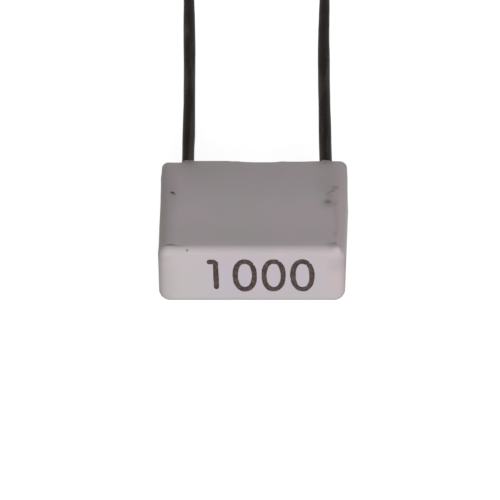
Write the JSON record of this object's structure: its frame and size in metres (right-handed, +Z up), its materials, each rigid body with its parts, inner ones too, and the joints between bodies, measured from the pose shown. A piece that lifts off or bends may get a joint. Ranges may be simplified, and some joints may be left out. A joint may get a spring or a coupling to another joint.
{
  "type": "film capacitor",
  "caption": "Small box film capacitor: moulded plastic case, potted end and a pair of stiff wire leads, lying on its larger side.",
  "frame": {"origin": "on the larger side that the box lies on, level with the middle of the box's depth and width", "axes": "+X from the left lead to the right lead, +Y from the closed end to the leads, +Z up out of the resting side"},
  "size_m": [0.01, 0.0306, 0.0036],
  "materials": {
    "case": "satin",
    "resin": "satin",
    "film": "satin",
    "sprayed_metal": "matte",
    "wire": "satin"
  },
  "bodies": {
    "root": {"case": "case", "potting_resin": "resin", "film_winding": "film", "end_contact_left": "sprayed_metal", "end_contact_right": "sprayed_metal", "lead_left": "wire", "lead_right": "wire"}
  },
  "joints": []
}
